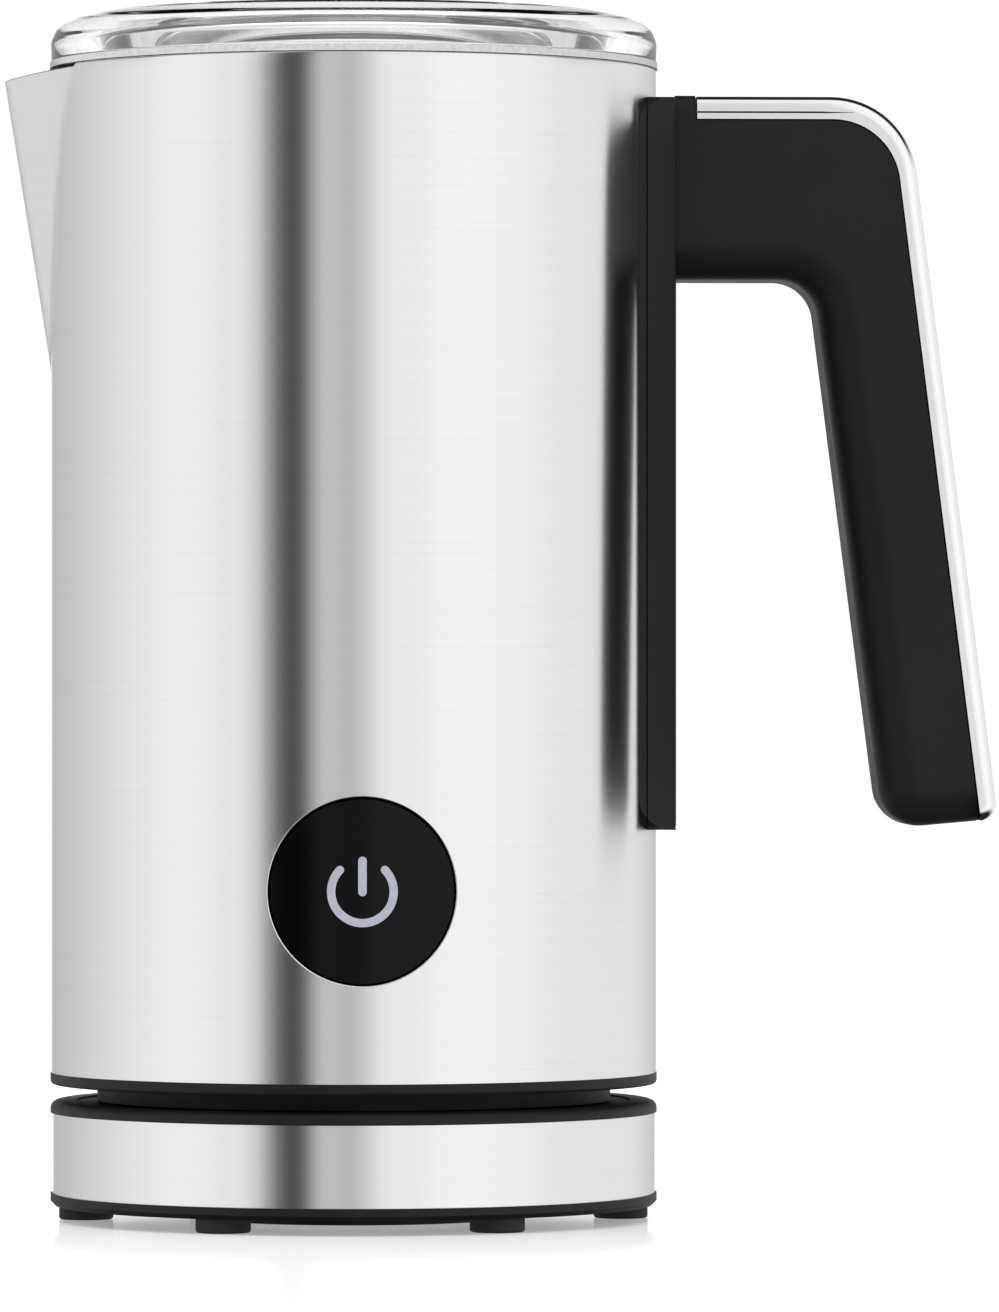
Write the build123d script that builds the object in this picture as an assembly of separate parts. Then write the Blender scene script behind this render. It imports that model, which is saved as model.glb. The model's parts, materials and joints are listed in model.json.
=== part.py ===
from build123d import *
import math
import os

# Milk frother: a steel jug with a clear lid, a magnet-driven whisk and a handle, standing on a cordless base.
# Millimetres. Origin on the jug's axis in the plane that the feet stand on.
# +Z up, +X handle, -X spout, -Y front.

# Driving dimensions
JUG_R = 52.5            # outside of the steel shell
RIM_R = JUG_R + 0.1     # black plastic rings above and below the base band and under the shell
SHEET = 0.8             # steel sheet
FIT = 0.3               # clearance between pieces that move apart

FOOT_H = 2.6
HUB_FACE_Z = 0.4        # underside of the cord-wrap hub
BASE_Z0 = 2.5           # underside of the base's flange
BAND_Z0 = 4.6
BAND_Z1 = 18.6
BASE_Z1 = 20.7          # top edge of the base
JUG_Z0 = 23.5           # underside of the jug's floor
SHELL_Z0 = 25.5
SHELL_Z1 = 199.2
POT_R = 44.0            # inside of the milk pot
POT_WALL = 1.2
POT_Z0 = 82.0           # underside of the pot's floor
POT_FLOOR = 2.0
POT_Z1 = 198.6
LID_Z0 = 200.4          # underside of the lid's flange

SPOUT_APEX = 62.3       # where the spout's flat sides would meet at SPOUT_TOP
SPOUT_TOP = 200.0
SPOUT_SLOPE = 0.161     # how far the spout draws in for each millimetre down
SPOUT_HALF_ANGLE = 56.4
SPOUT_HALF_WIDTH = 28.5
SPOUT_TIP_R = 5.0
SPOUT_Z0 = 95.0

BUTTON_R = 15.5
BUTTON_Z = 57.9
BUTTON_BACK = -46.2     # Y of the cap's back face
STEM_END = -41.2
GUIDE_WALL_Y = -40.2
BOARD_Y = -36.0

PLATE_Z0 = 67.6         # handle shoe on the shell
PLATE_Z1 = 193.9
PLATE_X = 55.2          # its outer face
PLATE_HALF = 20.5       # half its width against the shell
PLATE_FACE_HALF = 14.2  # half the width of its outer face
PLATE_CORNER = 6.0
PLATE_ROOT_X = 48.3     # where its sides meet the shell
LOW_SCREW_END = 53.6    # end of the shoe's lower screw
HANDLE_HALF = 13.0      # half the handle's width
HANDLE_TOP = 194.2
ARM_UNDER = 162.7
TRIM = 3.4              # chrome strip with its gap, down the outside of the grip
ARM_TRIM = 4.2          # the same along the top of the arm
TRIM_GAP = 0.25
TRIM_X0 = 58.9
TRIM_EDGE = 2.0         # rounding of the strip's outer edges
CORNER_OUT = 15.0       # corner between arm and grip, outside and under the strip
CORNER_IN = 11.5
GROOVE_TOP = 2.65       # groove along the arm, below the strip's top
GROOVE = 0.3
GROOVE_DEPTH = 0.45
GROOVE_END = 86.0
GRIP_FILLET = 6.6       # rounding on the side that the fingers meet

CHANNEL_R0 = 26.0       # cord-wrap channel
CHANNEL_R1 = 49.3
CHANNEL_MOUTH = 41.0
CHANNEL_TOP = 12.0
FOOT_RING = 46.4
CORD_BORE_R = 3.3
NOTCH_TOP = 11.2         # notch in the base's edge for the cord

LEGS = [(36.3, 16.9), (-36.3, 16.9), (-36.3, -16.9), (36.3, -16.9)]
SPRING_TURNS = 4.5


def disc(r, z0, z1, x=0.0, y=0.0):
    """Upright cylinder between two heights."""
    return Pos(x, y, z0) * Cylinder(r, z1 - z0, align=(Align.CENTER, Align.CENTER, Align.MIN))


def tube(r_out, r_in, z0, z1, x=0.0, y=0.0):
    """Upright ring between two heights."""
    return disc(r_out, z0, z1, x, y) - disc(r_in, z0 - 1, z1 + 1, x, y)


def rod_y(r, y0, y1, x=0.0, z=BUTTON_Z):
    """Cylinder along Y."""
    along = Rot(-90, 0, 0) * Cylinder(r, y1 - y0, align=(Align.CENTER, Align.CENTER, Align.MIN))
    return Pos(x, y0, z) * along


def rod_x(r, x0, x1, y=0.0, z=0.0):
    """Cylinder along X."""
    along = Rot(0, 90, 0) * Cylinder(r, x1 - x0, align=(Align.CENTER, Align.CENTER, Align.MIN))
    return Pos(x0, y, z) * along


def block(x0, x1, y0, y1, z0, z1):
    """Box between two corners."""
    size = (x1 - x0, y1 - y0, z1 - z0)
    return Pos((x0 + x1) / 2, (y0 + y1) / 2, (z0 + z1) / 2) * Box(*size)


def polar(radius, degrees):
    """Point on a circle about the jug's axis."""
    return radius * math.cos(math.radians(degrees)), radius * math.sin(math.radians(degrees))


# Spout

def spout_face(z, inset):
    """Rounded wedge across the spout at one height, drawn in by inset."""
    half = math.radians(SPOUT_HALF_ANGLE)
    apex = SPOUT_APEX - SPOUT_SLOPE * (SPOUT_TOP - z)
    tip = apex - inset / math.sin(half)
    width = SPOUT_HALF_WIDTH - inset
    root = tip - width / math.tan(half)
    back = root - 18.0
    outline = [(-back, -width), (-root, -width), (-tip, 0), (-root, width), (-back, width)]
    face = Plane.XY.offset(z) * Polygon(*outline, align=None)
    sharp = face.vertices().sort_by(Axis.X)[0]
    return fillet(sharp, SPOUT_TIP_R - inset)


def spout_wedge(inset):
    """Slanting wedge that pulls the jug's wall out into its pouring lip."""
    return loft([spout_face(SPOUT_Z0, inset), spout_face(SPOUT_TOP, inset)], ruled=True)


def lip_cut(drop):
    """Removes the spout's top so that its edge falls away towards the tip."""
    lip = SHELL_Z1 - 0.5 - drop
    return Pos(-JUG_R, 0, lip) * Rot(0, -9.8, 0) * Pos(-10, 0, 5) * Box(20, 60, 10)


# Base

def base_bottom_cover():
    """Black underside: flange, outer wall, cord-wrap channel and its hub."""
    cover = tube(RIM_R, CHANNEL_MOUTH, BASE_Z0, BAND_Z0)
    lowest = cover.edges().filter_by(GeomType.CIRCLE).group_by(Axis.Z)[0]
    cover = chamfer(lowest.sort_by(SortBy.RADIUS)[-1], 0.8)
    cover += tube(51.3, CHANNEL_R1, BAND_Z0 - 0.5, 16.4)
    cover += disc(CHANNEL_R1 + 0.5, CHANNEL_TOP, CHANNEL_TOP + 1.8)
    cover += tube(CHANNEL_R0, CHANNEL_R0 - 2, 2.0, CHANNEL_TOP + 0.5)
    cover += disc(CHANNEL_R0 + 2, HUB_FACE_Z, 2.4)
    for angle in (30, 150, 270):
        x, y = polar(FOOT_RING, angle)
        cover += disc(3.4, BAND_Z0 - 0.5, CHANNEL_TOP + 0.5, x, y)
        cover -= disc(1.7, 0, 20, x, y)
        cover -= disc(3.0, 0, BASE_Z0 + 1.6, x, y)
    cover -= rod_y(CORD_BORE_R + 1.2, CHANNEL_R0 - 4, CHANNEL_R0 + 0.01, z=7.2)
    cover -= block(-4.5, 4.5, 38, 60, 0, NOTCH_TOP)
    return cover


def base_band():
    """Brushed steel band round the base, notched at the back for the cord."""
    band = tube(JUG_R - 0.25, JUG_R - 0.25 - SHEET, BAND_Z0, BAND_Z1)
    return band - block(-4.5, 4.5, 38, 60, 0, NOTCH_TOP)


def base_top_cover():
    """Black top with a rounded edge, a shallow seat for the jug and a ring round the connector."""
    cover = disc(RIM_R, BAND_Z1, BASE_Z1)
    top = cover.edges().filter_by(GeomType.CIRCLE).group_by(Axis.Z)[-1]
    cover = fillet(top, 1.4)
    cover -= disc(48.0, BASE_Z1 - FIT, 30)
    cover -= disc(49.0, 0, BAND_Z1 + 0.3)
    cover += tube(51.2, 49.4, 16.6, BAND_Z1 + 0.5)
    cover += tube(18.0, 12.2, BASE_Z1 - 1.5, 22.2)
    for angle in (30, 150, 270):
        x, y = polar(FOOT_RING, angle)
        cover += disc(2.8, CHANNEL_TOP + 1.9, BAND_Z1 + 1.0, x, y)
        cover -= disc(1.45, CHANNEL_TOP, 18.0, x, y)
    cover -= disc(12.2, 0, 30)
    return cover


def base_connector():
    """Round insulating tower with a centre hole and a ring slot for the jug's contacts."""
    tower = disc(12.0, 14.0, 29.0)
    tower = fillet(tower.edges().group_by(Axis.Z)[-1], 1.2)
    tower += disc(15.5, 14.0, 16.0)
    tower -= disc(2.4, 17.5, 30)
    tower -= tube(8.0, 6.0, 18.5, 30)
    return tower


def base_contacts():
    """Brass contacts at the bottom of the tower's hole and slot."""
    return disc(2.3, 17.6, 20.0) + tube(7.9, 6.1, 18.6, 20.5)


def base_feet():
    """Six rubber pads under the flange."""
    feet = Part()
    for angle in range(0, 360, 60):
        x, y = polar(FOOT_RING, angle)
        pad = fillet(disc(4.7, 0, FOOT_H - 0.1, x, y).edges().group_by(Axis.Z)[0], 0.5)
        feet += pad
    return feet


def base_screws():
    """Three screws that hold the two covers together."""
    screws = Part()
    for angle in (30, 150, 270):
        x, y = polar(FOOT_RING, angle)
        screws += cross_screw(2.8, 1.45, BASE_Z0 + 0.2, BASE_Z0 + 1.6, 17.0, x, y)
    return screws


def cross_screw(head_r, shank_r, z0, z1, z2, x, y):
    """Pan-head screw with a cross recess, its head downward."""
    screw = fillet(disc(head_r, z0, z1, x, y).edges().group_by(Axis.Z)[0], 0.5)
    screw += disc(shank_r, z1 - 0.1, z2, x, y)
    for size in ((3.0, 0.7), (0.7, 3.0)):
        screw -= Pos(x, y, z0) * Box(size[0], size[1], 1.4)
    return screw


def cord_gland():
    """Rubber bush in the hub's wall where the cord goes in."""
    y0 = CHANNEL_R0 - 3.5
    bush = rod_y(CORD_BORE_R + 1.15, y0, CHANNEL_R0 + 1.0, z=7.2)
    bush += rod_y(CORD_BORE_R + 1.4, CHANNEL_R0 + 0.05, CHANNEL_R0 + 1.5, z=7.2)
    return bush - rod_y(CORD_BORE_R, y0 - 1, CHANNEL_R0 + 3, z=7.2)


# Connector half that the jug turns on

def socket_housing():
    """Round cup over the base's tower."""
    cup = disc(19.5, 24.6, 33.4)
    cup -= disc(12.0 + FIT, 24.0, 30.6)
    cup -= disc(1.9, 30, 35)
    cup -= tube(7.5, 6.5, 30, 32.6)
    return cup


def socket_pin():
    """Brass centre pin."""
    pin = disc(1.9, 21.0, 33.3)
    return fillet(pin.edges().group_by(Axis.Z)[0], 0.9)


def socket_ring():
    """Brass ring contact."""
    return tube(7.5, 6.5, 21.2, 32.5)


# Jug

def jug_shell():
    """Steel outer wall with its spout, the button's hole and the handle's screw holes."""
    outer = disc(JUG_R, SHELL_Z0, SHELL_Z1) + (spout_wedge(0) & disc(90, 130, SHELL_Z1))
    inner = disc(JUG_R - SHEET, 0, 230) + spout_wedge(SHEET)
    shell = outer - inner - lip_cut(0)
    shell -= rod_y(BUTTON_R + FIT, -60, -40)
    for z in handle_screw_heights():
        shell -= rod_x(2.0, 45, 60, z=z)
    return shell


def inner_pot():
    """Coated milk pot with a rounded floor, a level ring, a flat rim and a channel to the spout."""
    outer = disc(POT_R + POT_WALL, POT_Z0, POT_Z1)
    outer = fillet(outer.edges().group_by(Axis.Z)[0], 7)
    outer += spout_wedge(SHEET + 0.15) & disc(90, 90, POT_Z1)
    outer += disc(JUG_R - SHEET - 0.1, POT_Z1 - POT_WALL, POT_Z1)
    inner = disc(POT_R, POT_Z0 + POT_FLOOR, 230)
    inner = fillet(inner.edges().group_by(Axis.Z)[0], 6)
    inner += spout_wedge(SHEET + 0.15 + POT_WALL)
    pot = outer - inner - lip_cut(FIT)
    ring = tube(9.0, 7.5, POT_Z0 + POT_FLOOR - 0.5, POT_Z0 + POT_FLOOR + 0.6)
    return pot + ring - disc(1.5, POT_Z0 - 1, POT_Z0 + 3)


def spindle_pin():
    """Steel pin that the whisk turns on."""
    pin = disc(1.5, POT_Z0 - 0.5, 96.5)
    return fillet(pin.edges().group_by(Axis.Z)[-1], 0.8)


def jug_floor():
    """Black underside of the jug: rim ring, foot ring, socket pocket and board posts."""
    floor = disc(RIM_R, JUG_Z0, SHELL_Z0)
    floor = fillet(floor.edges().group_by(Axis.Z)[0], 0.7)
    floor += tube(JUG_R - SHEET - 0.1, 49.6, SHELL_Z0 - 0.5, 31.0)
    floor += tube(44.5, 42.3, BASE_Z1, JUG_Z0 + 0.5)
    floor += disc(22.0, JUG_Z0, 35.6)
    floor -= disc(19.5 + FIT, 0, 33.4 + FIT)
    for x in (-20, 20):
        floor += disc(2.6, SHELL_Z0 - 0.5, 40.0, x, 29)
    for x, y in LEGS:
        floor -= disc(1.8, 20, 30, x, y)
        floor -= disc(3.1, 20, JUG_Z0 + 1.3, x, y)
    return floor


def floor_screws():
    """Four screws from the jug's floor into the chassis legs."""
    screws = Part()
    for x, y in LEGS:
        screws += cross_screw(2.9, 1.5, JUG_Z0 - 0.2, JUG_Z0 + 1.3, 37.0, x, y)
    return screws


def motor_chassis():
    """Plastic frame that carries the motor and presses the heater to the pot."""
    plate = disc(43.0, 66.2, 68.4) - disc(7.5, 60, 70)
    plate += tube(44.6, 42.4, 66.2, 80.0)
    for x, y in LEGS:
        plate += disc(3.6, SHELL_Z0 + 0.1, 67.0, x, y)
        plate -= disc(1.5, 20, 38, x, y)
    for x in (-9.5, 9.5):
        plate -= disc(1.5, 60, 70, x, 0)
    plate -= block(-20, 20, -60, -32, 60, 81)
    for x, y in ((0, 33), (-29, 0)):
        plate -= disc(4.2, 60, 70, x, y)
    return plate


def heater_ring():
    """Ring heater under the pot's floor, with its two blade terminals."""
    ring = tube(38.0, 25.0, POT_Z0 - 2.4, POT_Z0 - 0.05)
    for x in (-6, 6):
        ring += block(x - 0.4, x + 0.4, 29, 35, POT_Z0 - 9.0, POT_Z0 - 2.2)
    return ring


def temperature_sensor():
    """Small capsule held up against the pot's floor."""
    return disc(2.5, POT_Z0 - 8.0, POT_Z0 - 2.5, -33, -10)


def thermal_fuse():
    """One-shot fuse strapped under the heater."""
    fuse = rod_y(2.0, -8, 8, x=31.5, z=POT_Z0 - 4.6)
    return fuse + rod_y(0.5, -14, 14, x=31.5, z=POT_Z0 - 4.6)


def motor_can():
    """Round motor under the chassis plate."""
    can = fillet(disc(14.0, 42.0, 66.0).edges().group_by(Axis.Z)[0], 1.5)
    can += disc(6.5, 65.9, 68.0)
    can -= disc(2.2, 41, 70)
    for x in (-9.5, 9.5):
        can -= disc(1.25, 60, 70, x, 0)
    return can


def motor_screws():
    """Two screws that hang the motor from the chassis."""
    screws = Part()
    for x in (-9.5, 9.5):
        screws += disc(1.2, 61.0, 68.5, x, 0) + disc(2.4, 68.45, 70.0, x, 0)
    return screws


def motor_shaft():
    """Steel shaft from the motor to the magnet carrier."""
    return disc(1.5, 44.0, 77.0)


def magnet_carrier():
    """Disc that spins under the pot's floor."""
    carrier = disc(20.0, 74.0, 79.2) + disc(4.5, 70.5, 75.0)
    carrier -= disc(1.5, 60, 77.0)
    for x in (-13, 13):
        carrier -= disc(4.0, 75.5, 80, x, 0)
    return carrier


def drive_magnets():
    """Two magnets let into the carrier."""
    return disc(3.95, 75.5, 79.1, -13, 0) + disc(3.95, 75.5, 79.1, 13, 0)


def control_board():
    """Circuit board on the floor's posts."""
    return block(-27, 27, 19.5, 38.5, 40.0, 41.6)


def board_components():
    """Capacitor, relay, transformer and terminal block on the board."""
    parts = disc(5.0, 41.6, 56.0, -19, 29)
    parts += block(-11, 5, 23, 35, 41.6, 53.0)
    parts += block(8, 17, 23, 35, 41.6, 50.0)
    return parts + block(19.5, 26, 22, 36, 41.6, 51.0)


def button_guide():
    """Ring behind the shell that the button slides in, with its back wall and four board pegs."""
    guide = rod_y(18.3, -47.8, GUIDE_WALL_Y + 1.3) & disc(JUG_R - SHEET - 0.2, 0, 100)
    guide -= rod_y(BUTTON_R + FIT, -60, GUIDE_WALL_Y)
    guide -= rod_y(2.2, -60, -30)
    for x in (-7, 7):
        guide -= rod_y(1.9, -60, -30, x=x)
        for z in (-7, 7):
            guide += rod_y(1.6, GUIDE_WALL_Y + 1.0, BOARD_Y, x=x * 1.3, z=BUTTON_Z + z * 1.3)
    return guide


def button_board():
    """Small circuit board behind the button."""
    return block(-13, 13, BOARD_Y, BOARD_Y + 1.6, BUTTON_Z - 12, BUTTON_Z + 12)


def tact_switch():
    """Switch body on the small board."""
    body = block(-3, 3, GUIDE_WALL_Y + 1.4, BOARD_Y, BUTTON_Z - 3, BUTTON_Z + 3)
    return body - rod_y(2.05, -50, BOARD_Y - 0.8)


def status_lights():
    """Two lamps behind the button's symbol."""
    lamps = Part()
    for x in (-7, 7):
        lamps += block(x - 1.5, x + 1.5, BOARD_Y - 1.2, BOARD_Y, BUTTON_Z - 1, BUTTON_Z + 1)
    return lamps


def button_cap():
    """Round glossy button whose face follows the shell."""
    cap = rod_y(BUTTON_R, -53.5, BUTTON_BACK) & disc(JUG_R - 0.05, 0, 100)
    cap -= rod_y(13.6, -49.2, BUTTON_BACK + 1)
    cap += rod_y(6.0, -49.5, BUTTON_BACK) + rod_y(3.0, BUTTON_BACK - 0.1, STEM_END)
    return cap - icon_blank(0.0)


def icon_blank(extra):
    """Power symbol, an open ring and a bar, as a solid that is cut from or let into the cap."""
    ring_r = 5.26
    stroke = 1.4
    gap = 46.0
    solid = Part()
    with BuildSketch(Plane.XZ.offset(51.2)) as symbol:
        with Locations((0, BUTTON_Z)):
            Circle(ring_r + stroke / 2)
            Circle(ring_r - stroke / 2, mode=Mode.SUBTRACT)
        reach = 9.0
        side = reach * math.tan(math.radians(gap))
        with Locations((0, BUTTON_Z)):
            Polygon((0, 0), (side, reach), (-side, reach), align=None, mode=Mode.SUBTRACT)
        for sign in (-1, 1):
            end_x = sign * ring_r * math.sin(math.radians(gap))
            end_z = ring_r * math.cos(math.radians(gap))
            with Locations((end_x, BUTTON_Z + end_z)):
                Circle(stroke / 2)
    solid += extrude(symbol.sketch, 3)
    with BuildSketch(Plane.XZ.offset(51.2)) as bar:
        with Locations((0, BUTTON_Z + 2.57)):
            SlotOverall(6.65, stroke + 0.05, rotation=90)
    solid += extrude(bar.sketch, 3)
    return solid & disc(JUG_R - 0.05 + extra, 0, 100)


def power_symbol():
    """Light-guiding symbol let into the cap."""
    return icon_blank(0.04)


def switch_plunger():
    """Plunger between the cap's stem and the switch."""
    return rod_y(1.75, STEM_END, -38.0)


def button_spring():
    """Coil spring round the stem."""
    length = GUIDE_WALL_Y - BUTTON_BACK - 0.8
    path = Helix(pitch=length / SPRING_TURNS, height=length, radius=4.6)
    section = Plane(path @ 0, z_dir=path % 0) * Circle(0.3)
    coil = sweep(section, path=path, is_frenet=True)
    return Pos(0, BUTTON_BACK + 0.4, BUTTON_Z) * Rot(-90, 0, 0) * coil


# Handle

def handle_screw_heights():
    """Two screws in the arm and one low in the shoe."""
    return (170.0, 186.5, 78.0)


def outer_x(z):
    """Outside line of the grip at one height."""
    return 95.35 + 0.1264 * (HANDLE_TOP - z)


def handle_outline(top, shift, corner_r, start_x):
    """Side view of the arm and grip, its outside drawn in by shift; only the full outline has a round toe."""
    low_z = 69.3
    points = [
        (start_x, top),
        (outer_x(top) - shift, top),
        (outer_x(low_z) - shift, low_z - 0.081 * shift),
        (91.6, 67.6),
        (79.35, ARM_UNDER),
        (start_x, ARM_UNDER),
    ]
    face = Plane.XZ * Polygon(*points, align=None)
    radii = {1: corner_r, 3: 7.0, 4: 7.0}
    if shift == 0:
        radii[2] = 3.2
    for index, radius in radii.items():
        x, z = points[index]
        corner = face.vertices().sort_by_distance((x, 0, z))[0]
        face = fillet(corner, radius)
    return face


def handle_solid(face):
    """Outline extruded to the handle's width."""
    return extrude(face, HANDLE_HALF, both=True)


def shoe_body(inset):
    """Upright wedge-sided block with rounded ends, its sides and ends drawn in by inset."""
    root = PLATE_HALF - inset
    face = PLATE_FACE_HALF - inset
    slope = (PLATE_HALF - PLATE_FACE_HALF) / (PLATE_X - PLATE_ROOT_X)
    start = 44.0
    wide = root + slope * (PLATE_ROOT_X - start)
    outline = [(start, -wide), (PLATE_X, -face), (PLATE_X, face), (start, wide)]
    height = PLATE_Z1 - PLATE_Z0 - 2 * inset
    body = extrude(Plane.XY.offset(PLATE_Z0 + inset) * Polygon(*outline, align=None), height)
    ends = Plane.YZ.offset(start) * RectangleRounded(2 * root, height, PLATE_CORNER - inset)
    return body & Pos(0, 0, (PLATE_Z1 + PLATE_Z0) / 2) * extrude(ends, PLATE_X - start)


def handle_shoe():
    """Wedge-sided block on the shell that carries the handle, with a groove round it near the shell."""
    plate = shoe_body(0)
    plate = fillet(plate.edges().group_by(Axis.X)[-1], 0.9)
    plate -= block(49.75, 50.0, -30, 30, 0, 230) - shoe_body(0.35)
    plate -= disc(JUG_R + 0.02, 0, 230)
    for z in handle_screw_heights():
        plate -= rod_x(1.75, 45, LOW_SCREW_END + 0.4 if z < 100 else 60, z=z)
    return plate


def handle_grip():
    """Black arm and grip in one moulding."""
    core = handle_solid(handle_outline(HANDLE_TOP - ARM_TRIM, TRIM, CORNER_IN, PLATE_X + 0.02))
    inner = [e for e in core.edges() if abs(abs(e.center().Y) - HANDLE_HALF) < 0.01 and inside_edge(e)]
    core = fillet(inner, GRIP_FILLET)
    root = block(
        PLATE_X + 0.02, TRIM_X0 - TRIM_GAP, -HANDLE_HALF, HANDLE_HALF, ARM_UNDER + 8, HANDLE_TOP + 0.15
    )
    core += fillet(root.edges().filter_by(Axis.X).group_by(Axis.Z)[-1], 2.4)
    for z in handle_screw_heights():
        if z > 100:
            core -= rod_x(1.5, 50, 66, z=z)
    return core


def inside_edge(edge):
    """True for the edges that the fingers meet: under the arm, down the grip's inside and its end."""
    c = edge.center()
    if c.Z > ARM_UNDER + 1:
        return False
    return c.X < outer_x(c.Z) - TRIM - 0.5


def handle_trim():
    """Chrome strip over the arm and down the outside of the grip, with a groove along the arm's two sides."""
    whole = handle_solid(handle_outline(HANDLE_TOP, 0, CORNER_OUT, TRIM_X0))
    rim = [e for e in whole.edges() if abs(abs(e.center().Y) - HANDLE_HALF) < 0.01 and outside_edge(e)]
    whole = fillet(rim, TRIM_EDGE)
    top = HANDLE_TOP - ARM_TRIM + TRIM_GAP
    end = PLATE_Z0 - 10
    shift = TRIM - TRIM_GAP
    outline = [(40, top), (outer_x(top) - shift, top), (outer_x(end) - shift, end), (40, end)]
    inside = Plane.XZ * Polygon(*outline, align=None)
    corner = inside.vertices().sort_by_distance((outer_x(top), 0, top))[0]
    strip = whole - extrude(fillet(corner, CORNER_IN + TRIM_GAP), HANDLE_HALF + 5, both=True)
    high = HANDLE_TOP - GROOVE_TOP
    groove = block(
        TRIM_X0 - 1, GROOVE_END, HANDLE_HALF - GROOVE_DEPTH, HANDLE_HALF + 1, high - GROOVE, high
    )
    return strip - groove - mirror(groove, Plane.XZ)


def outside_edge(edge):
    """True for the edges along the top of the arm and down the outside of the grip."""
    c = edge.center()
    return c.Z > HANDLE_TOP - 0.5 or c.X > outer_x(c.Z) - 3.5


def handle_screws():
    """Three screws from inside the shell into the handle."""
    screws = Part()
    for z in handle_screw_heights():
        end = LOW_SCREW_END if z < 100 else 65.0
        head = fillet(rod_x(3.2, 48.6, 51.2, z=z).edges().group_by(Axis.X)[0], 0.8)
        screws += head + rod_x(1.5, 51.0, end, z=z)
    return screws


# Lid

def lid_cover():
    """Clear lid: flange, rounded shoulder, shallow dome, sunk centre and a skirt."""
    with BuildPart() as lid:
        with BuildSketch(Plane.XZ):
            with BuildLine():
                Polyline((0, 206.0), (32.6, 206.0), (34.6, 208.4))
                Spline((34.6, 208.4), (35.5, 208.75), (41.5, 208.65), (47.3, 208.1), (50.2, 207.1),
                       (51.8, 205.6), (52.6, 203.7), tangents=((1, 1), (-0.12, -1)))
                Polyline((52.6, 203.7), (52.5, LID_Z0), (50.6, LID_Z0), (50.6, 203.4), (49.2, 205.4),
                         (46.6, 206.2), (44.4, 206.3), (43.2, LID_Z0), (42.6, LID_Z0), (42.4, 190.0),
                         (40.8, 190.0), (41.2, 206.4), (36.4, 206.5), (34.2, 203.8), (0, 203.8), (0, 206.0))
            make_face()
        revolve(axis=Axis.Z)
    return lid.part


def lid_seal():
    """Grey silicone seal round the skirt and under the flange."""
    seal = tube(52.7, 42.75, SHELL_Z1 + 0.06, LID_Z0 - 0.02)
    return seal + tube(43.6, 42.75, 193.0, 199.6)


# Whisk

def whisk_bush():
    """Bearing bush that drops over the spindle pin."""
    return tube(2.8, 1.5 + 0.1, 85.2, 95.0)


def whisk_hub():
    """Round hub that turns on the bush and carries the magnets and the coil."""
    hub = disc(6.2, 85.6, 94.6) + disc(17.5, 85.6, 88.6)
    hub = fillet(hub.edges().group_by(Axis.Z)[-1], 1.2)
    hub -= disc(2.8 + 0.06, 80, 100)
    for x in (-13, 13):
        hub -= disc(3.0, 80, 87.6, x, 0)
    return hub


def whisk_magnets():
    """Two magnets in the hub's underside."""
    return disc(2.95, 85.7, 87.6, -13, 0) + disc(2.95, 85.7, 87.6, 13, 0)


def whisk_coil():
    """Coiled wire ring round the hub."""
    return Pos(0, 0, 88.4) * Torus(20.2, 2.7)


NODES = [
    base_bottom_cover, base_band, base_top_cover, base_connector, base_contacts, base_feet, base_screws,
    cord_gland, socket_housing, socket_pin, socket_ring, jug_shell, inner_pot, spindle_pin, jug_floor,
    floor_screws, motor_chassis, heater_ring, temperature_sensor, thermal_fuse, motor_can, motor_screws,
    motor_shaft, magnet_carrier, drive_magnets, control_board, board_components, button_guide,
    button_board, tact_switch, status_lights, button_cap, power_symbol, switch_plunger, button_spring,
    handle_shoe, handle_grip, handle_trim, handle_screws, lid_cover, lid_seal, whisk_bush, whisk_hub,
    whisk_magnets, whisk_coil,
]

os.makedirs("parts", exist_ok=True)
for make in NODES:
    export_step(make(), f"parts/{make.__name__}.step")
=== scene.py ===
"""Milk frother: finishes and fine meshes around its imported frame, laid out as an add-on."""

import json
import math

import bmesh
import bpy
from bpy.props import FloatProperty, FloatVectorProperty, IntProperty, PointerProperty
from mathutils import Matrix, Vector


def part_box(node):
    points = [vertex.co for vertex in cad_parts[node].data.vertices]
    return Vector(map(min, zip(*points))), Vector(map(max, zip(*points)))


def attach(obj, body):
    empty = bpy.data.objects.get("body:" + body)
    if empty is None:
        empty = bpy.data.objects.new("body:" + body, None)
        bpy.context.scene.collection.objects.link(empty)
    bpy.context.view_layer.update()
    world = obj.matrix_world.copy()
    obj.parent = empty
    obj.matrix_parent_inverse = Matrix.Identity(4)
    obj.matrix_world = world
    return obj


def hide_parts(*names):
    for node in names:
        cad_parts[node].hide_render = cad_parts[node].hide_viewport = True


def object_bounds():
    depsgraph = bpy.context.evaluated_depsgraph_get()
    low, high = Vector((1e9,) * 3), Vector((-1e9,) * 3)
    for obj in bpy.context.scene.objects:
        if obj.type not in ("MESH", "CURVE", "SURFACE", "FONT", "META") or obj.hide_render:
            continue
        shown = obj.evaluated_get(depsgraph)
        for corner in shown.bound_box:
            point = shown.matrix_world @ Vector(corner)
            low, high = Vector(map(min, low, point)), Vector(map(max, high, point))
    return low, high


bl_info = {
    "name": "Milk Frother Finishes",
    "version": (1, 0, 0),
    "blender": (4, 5, 0),
    "location": "3D View > Sidebar > Frother",
    "description": "Builds the steel, lid and whisk meshes of a milk frother and gives every part its finish",
    "category": "Object",
}

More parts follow.
